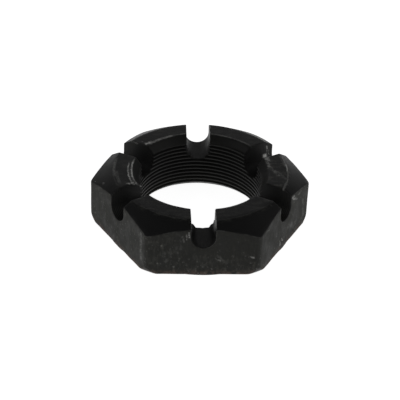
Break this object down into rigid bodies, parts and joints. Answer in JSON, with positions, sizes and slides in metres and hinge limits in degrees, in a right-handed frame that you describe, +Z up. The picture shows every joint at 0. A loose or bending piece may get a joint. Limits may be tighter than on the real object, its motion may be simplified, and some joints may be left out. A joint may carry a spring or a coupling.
{
  "type": "castle nut",
  "caption": "Low hexagon castle nut in blackened steel: a wide, fine-threaded locking nut with a turned crown, milled across each flat for a split pin.",
  "frame": {"origin": "centre of the washer face that it stands on, on the thread axis", "axes": "+Z up the thread axis from the bearing face to the slotted crown; +X through a corner of the hexagon; -Y square to the flat whose slot faces the front"},
  "size_m": [0.103, 0.09, 0.0279],
  "materials": {
    "blackened_steel": "black oxide over forged and machined steel, satin, lightly scuffed"
  },
  "bodies": {
    "root": {"castle_nut": "blackened_steel"}
  },
  "joints": []
}
